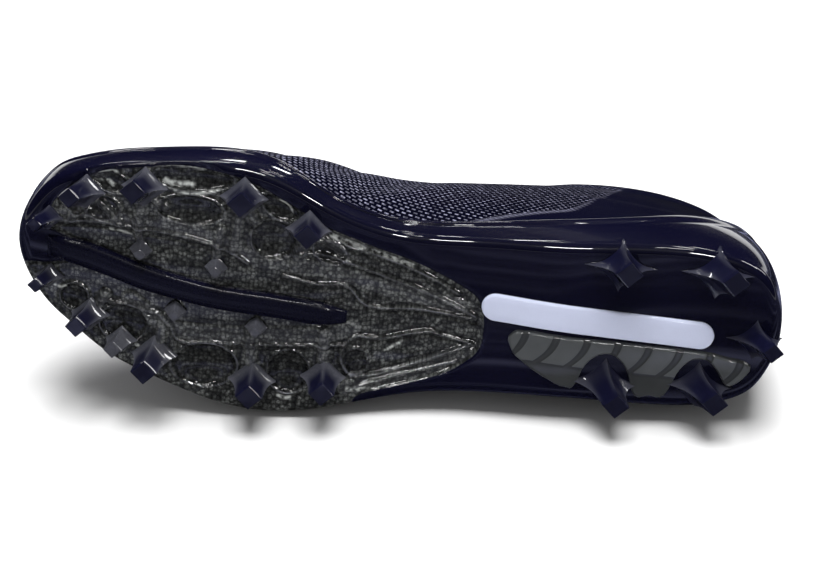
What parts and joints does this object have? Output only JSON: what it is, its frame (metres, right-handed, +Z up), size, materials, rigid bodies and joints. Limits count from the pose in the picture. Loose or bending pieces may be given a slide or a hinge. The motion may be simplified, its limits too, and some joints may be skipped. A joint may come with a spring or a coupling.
{
  "type": "american football cleat",
  "caption": "Low football cleat for the right foot, lying on its outer side, with a moulded shell sole, pointed four-sided studs, a mesh upper and a laced throat",
  "frame": {"origin": "middle of the lying shoe's base, on the floor", "axes": "+X from toe to heel, +Y from the sole to the collar, +Z up, with the inner side of the shoe on top"},
  "size_m": [0.3008, 0.1236, 0.106],
  "materials": {
    "shell_navy": "high gloss",
    "stud_navy": "gloss",
    "upper_mesh": "woven mesh with a satin coat",
    "lining_navy": "matte knit",
    "lace_navy": "matte woven",
    "pale_bar": "satin",
    "panel_grey": "gloss"
  },
  "bodies": {
    "root": {"outsole": "shell_navy", "upper": "upper_mesh", "insole": "lining_navy", "tongue": "lining_navy", "lace_crossing_1": "lace_navy", "lace_crossing_2": "lace_navy", "lace_crossing_3": "lace_navy", "lace_crossing_4": "lace_navy", "lace_crossing_5": "lace_navy", "centre_rib": "shell_navy", "heel_bar": "pale_bar", "heel_panel": "panel_grey", "stud_toe_inner": "stud_navy", "stud_toe_outer": "stud_navy", "stud_inner_1": "stud_navy", "stud_inner_2": "stud_navy", "stud_inner_3": "stud_navy", "stud_inner_4": "stud_navy", "stud_outer_1": "stud_navy", "stud_outer_2": "stud_navy", "stud_outer_3": "stud_navy", "stud_outer_4": "stud_navy", "stud_outer_5": "stud_navy", "stud_centre_1": "stud_navy", "stud_centre_2": "stud_navy", "stud_centre_3": "stud_navy", "stud_centre_4": "stud_navy", "stud_heel_inner_1": "stud_navy", "stud_heel_inner_2": "stud_navy", "stud_heel_outer_1": "stud_navy", "stud_heel_outer_2": "stud_navy", "stud_heel_back": "stud_navy"}
  },
  "joints": []
}
